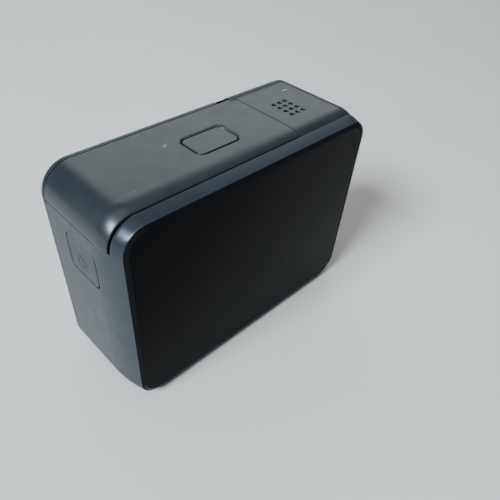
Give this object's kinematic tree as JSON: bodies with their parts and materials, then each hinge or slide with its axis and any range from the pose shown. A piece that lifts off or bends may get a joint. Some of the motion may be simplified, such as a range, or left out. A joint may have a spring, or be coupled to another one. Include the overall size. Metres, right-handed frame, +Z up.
{
  "type": "action camera",
  "caption": "Compact waterproof action camera with rear touch screen, front display, twist-off lens cover, side battery door, push buttons and fold-out mounting fingers.",
  "frame": {"origin": "centre of the camera's footprint (lens cover included) on the surface it stands on", "axes": "+Z up, +Y towards the rear screen, -Y the way the lens looks, +X the side with the mode button"},
  "size_m": [0.071, 0.0336, 0.051],
  "materials": {
    "shell_plastic": "satin soft-touch",
    "cover_plastic": "fine satin",
    "screen_glass": "polished black-backed glass",
    "optical_glass": "coated, polished",
    "display_panel": "dark panel",
    "adhesive": "matt",
    "mesh_fabric": "fine acoustic mesh",
    "light_pipe": "translucent",
    "spreader_metal": "rolled",
    "circuit_board": "solder mask",
    "chip_black": "moulded",
    "flex_film": "film",
    "lens_metal": "black anodised",
    "seal_rubber": "silicone",
    "button_plastic": "satin",
    "bright_steel": "bright",
    "battery_wrap": "printed wrap, blank",
    "pull_tab": "woven tab",
    "inner_plastic": "moulded",
    "contact_brass": "plated",
    "ceramic_patch": "glazed",
    "finger_metal": "black coated"
  },
  "bodies": {
    "camera_body": {"battery": "battery_wrap", "battery_bay": "inner_plastic", "battery_contacts": "contact_brass", "battery_pull_tab": "pull_tab", "body_shell": "shell_plastic", "button_board": "circuit_board", "card_slot": "bright_steel", "contact_block": "chip_black", "display_flex": "flex_film", "door_hinge_pin": "bright_steel", "finger_pins": "bright_steel", "frame_screws": "bright_steel", "front_display": "display_panel", "front_glass": "screen_glass", "front_lens": "optical_glass", "front_plate": "shell_plastic", "glass_adhesive": "adhesive", "gps_antenna": "ceramic_patch", "grille_mesh": "mesh_fabric", "grille_panel": "cover_plastic", "heat_spreader": "spreader_metal", "image_sensor": "chip_black", "ir_filter": "optical_glass", "lens_barrel": "lens_metal", "lens_ring": "lens_metal", "main_board": "circuit_board", "memory_card": "inner_plastic", "microphones": "bright_steel", "middle_lens": "optical_glass", "mode_board": "circuit_board", "mode_seal": "seal_rubber", "mode_switch": "bright_steel", "processor": "chip_black", "rear_display": "display_panel", "rear_frame": "shell_plastic", "rear_lens": "optical_glass", "sensor_board": "circuit_board", "sensor_flex": "flex_film", "shutter_seal": "seal_rubber", "shutter_switch": "bright_steel", "speaker": "chip_black", "speaker_gasket": "seal_rubber", "status_light": "light_pipe", "top_cover": "cover_plastic", "touch_glass": "screen_glass", "usb_port": "bright_steel", "usb_tongue": "inner_plastic"},
    "shutter_button": {"shutter_button": "button_plastic"},
    "mode_button": {"mode_button": "button_plastic"},
    "battery_door": {"battery_door": "shell_plastic", "door_gasket": "seal_rubber", "latch_spring": "bright_steel"},
    "door_latch": {"door_latch": "button_plastic"},
    "lens_cover": {"lens_cover": "shell_plastic", "lens_cover_glass": "screen_glass", "lens_cover_seal": "seal_rubber"},
    "finger_left": {"finger_left": "finger_metal"},
    "finger_right": {"finger_right": "finger_metal"}
  },
  "joints": [
    {"name": "shutter_press", "type": "slide", "parent": "camera_body", "child": "shutter_button", "axis": [0, 0, -1], "range_m": [0, 0.0005], "stiffness_N_per_m": 600, "springref_m": -0.001},
    {"name": "mode_press", "type": "slide", "parent": "camera_body", "child": "mode_button", "axis": [-1, 0, 0], "range_m": [0, 0.0005], "stiffness_N_per_m": 600, "springref_m": -0.001},
    {"name": "battery_door_hinge", "type": "hinge", "parent": "camera_body", "child": "battery_door", "pos_m": [-0.03318, 0.00275, 0.00302], "axis": [0, -1, 0], "range_deg": [0, 90]},
    {"name": "door_latch_slide", "type": "slide", "parent": "battery_door", "child": "door_latch", "axis": [0, 0, -1], "range_m": [0, 0.002], "stiffness_N_per_m": 400, "springref_m": -0.002, "deforming": ["latch_spring"]},
    {"name": "lens_cover_twist", "type": "hinge", "parent": "camera_body", "child": "lens_cover", "pos_m": [0.016, -0.013, 0.0312], "axis": [0, -1, 0], "range_deg": [0, 45]},
    {"name": "finger_left_fold", "type": "hinge", "parent": "camera_body", "child": "finger_left", "pos_m": [0.00305, 0.0015, 0.0016], "axis": [0, 1, 0], "range_deg": [0, 90]},
    {"name": "finger_right_fold", "type": "hinge", "parent": "camera_body", "child": "finger_right", "pos_m": [-0.00305, 0.0015, 0.0016], "axis": [0, -1, 0], "range_deg": [0, 90]}
  ]
}
